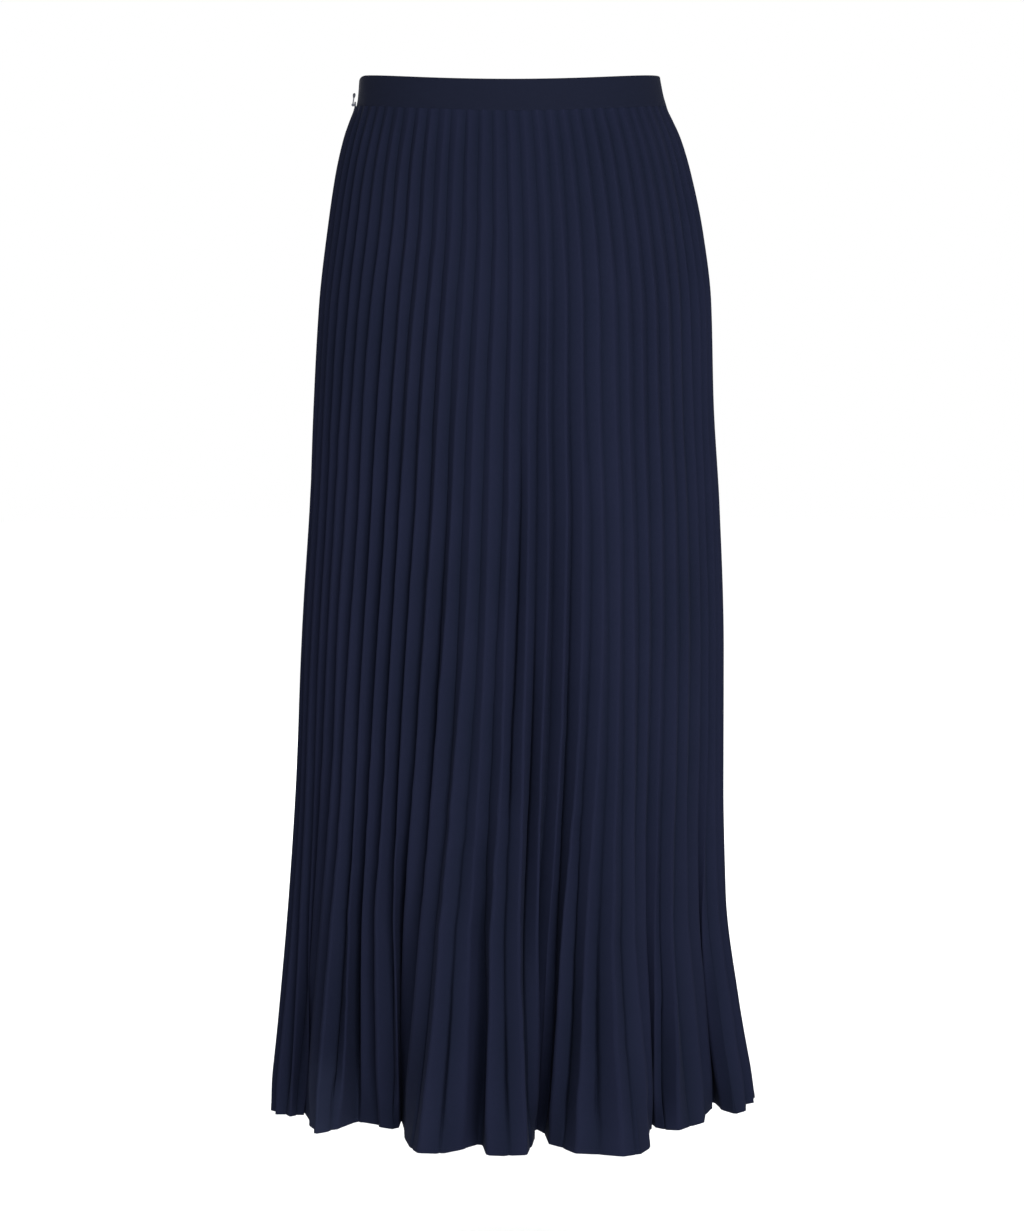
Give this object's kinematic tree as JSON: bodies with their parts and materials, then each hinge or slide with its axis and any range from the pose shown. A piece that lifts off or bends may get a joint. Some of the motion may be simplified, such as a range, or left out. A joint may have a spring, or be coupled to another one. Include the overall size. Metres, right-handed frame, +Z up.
{
  "type": "pleated skirt",
  "caption": "Long accordion-pleated skirt in its hollow worn form, with a plain waistband and a concealed side zip.",
  "frame": {"origin": "middle of the waist opening, at half the height of the waistband", "axes": "+Z up out of the waist, +X to the right as the pictured side is seen, -Y out of the pictured side"},
  "size_m": [0.4428, 0.3281, 0.9243],
  "materials": {
    "cloth": "matte navy crepe",
    "band": "matte navy crepe over interfacing",
    "zip_tape": "navy zip coil",
    "zip_metal": "navy enamel"
  },
  "bodies": {
    "skirt": {"skirt_back": "cloth", "skirt_front": "cloth", "waistband": "band", "zip_coil": "zip_tape", "zip_slider": "zip_metal"},
    "pull": {"zip_pull": "zip_metal"}
  },
  "joints": [
    {"name": "zip_pull_swing", "type": "hinge", "parent": "skirt", "child": "pull", "pos_m": [-0.1392, 0, -0.0108], "axis": [0, -1, 0], "range_deg": [0, 150]}
  ]
}
